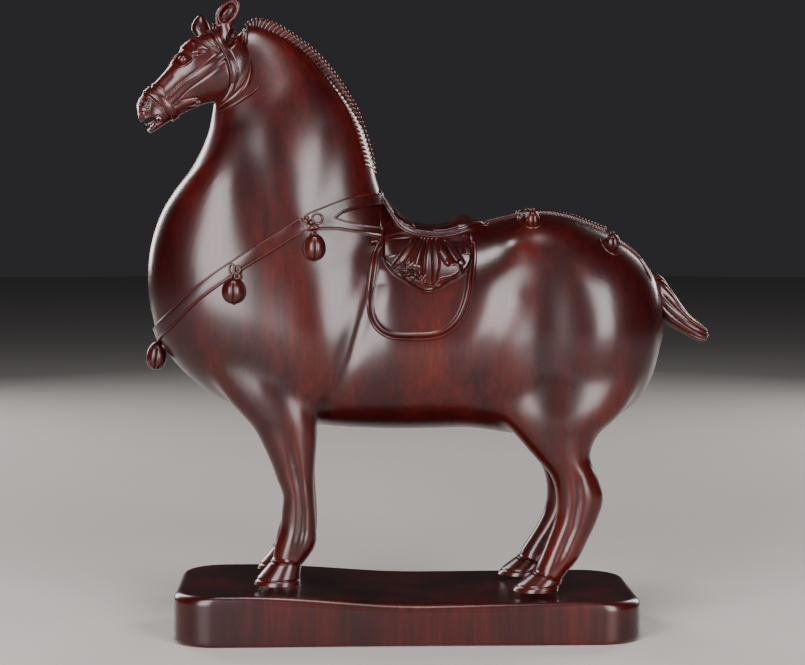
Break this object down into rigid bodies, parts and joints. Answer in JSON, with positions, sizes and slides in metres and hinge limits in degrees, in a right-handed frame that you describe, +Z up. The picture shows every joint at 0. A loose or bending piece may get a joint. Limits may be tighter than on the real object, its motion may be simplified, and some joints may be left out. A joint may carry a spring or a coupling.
{
  "type": "carved wooden horse figure",
  "caption": "Carved wooden horse in the Tang manner, standing square on a rounded plinth, with clipped ribbed mane, bridle, round bells, saddle with gathered cloth and short tail.",
  "frame": {"origin": "middle of the plinth's flat underside", "axes": "+Z up, +X from the horse's head towards its tail, +Y from its left flank towards its right flank"},
  "size_m": [0.3418, 0.112, 0.3756],
  "materials": {
    "horse_wood": "polished dark red-brown hardwood with a soft shine",
    "plinth_wood": "polished dark red-brown hardwood, slightly duller than the horse"
  },
  "bodies": {
    "root": {"horse": "horse_wood", "plinth": "plinth_wood"}
  },
  "joints": []
}
